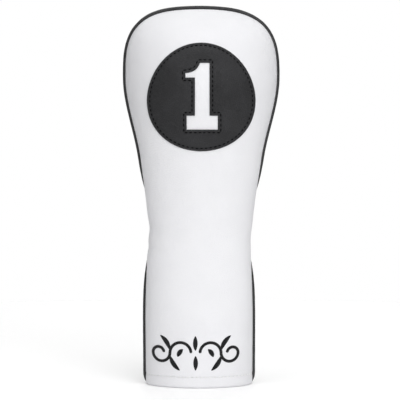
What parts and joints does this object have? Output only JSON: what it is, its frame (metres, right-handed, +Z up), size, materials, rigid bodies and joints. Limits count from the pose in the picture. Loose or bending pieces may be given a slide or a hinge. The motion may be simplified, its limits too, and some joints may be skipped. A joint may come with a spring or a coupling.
{
  "type": "driver head cover",
  "caption": "Soft leather club head cover that stands on its open hem, with a rounded head, drawn-in neck, piped seam, round number patch and embroidered scroll.",
  "frame": {"origin": "on the ground, at the middle of the object's footprint box, under the middle of the open hem", "axes": "+Z up from the hem to the crown, the white front with the number patch faces -Y, +X to the right seen from the front"},
  "size_m": [0.1448, 0.1053, 0.3446],
  "materials": {
    "white_leather": "satin",
    "black_leather": "satin",
    "black_thread": "satin",
    "white_thread": "satin",
    "foam": "matte",
    "plush": "matte",
    "elastic": "matte",
    "backing": "matte",
    "cord": "matte"
  },
  "bodies": {
    "root": {"front_panel": "white_leather", "back_panel": "black_leather", "piping_cover": "black_leather", "piping_cord": "cord", "number_patch": "black_leather", "patch_edge_stitching": "black_thread", "numeral_stitching": "black_thread", "embroidered_motif": "black_thread", "embroidery_backing": "backing", "front_foam": "foam", "back_foam": "foam", "front_lining": "plush", "back_lining": "plush", "neck_elastic": "elastic", "hem_stitching_front": "white_thread", "hem_stitching_back": "black_thread", "elastic_stitching": "black_thread"}
  },
  "joints": []
}
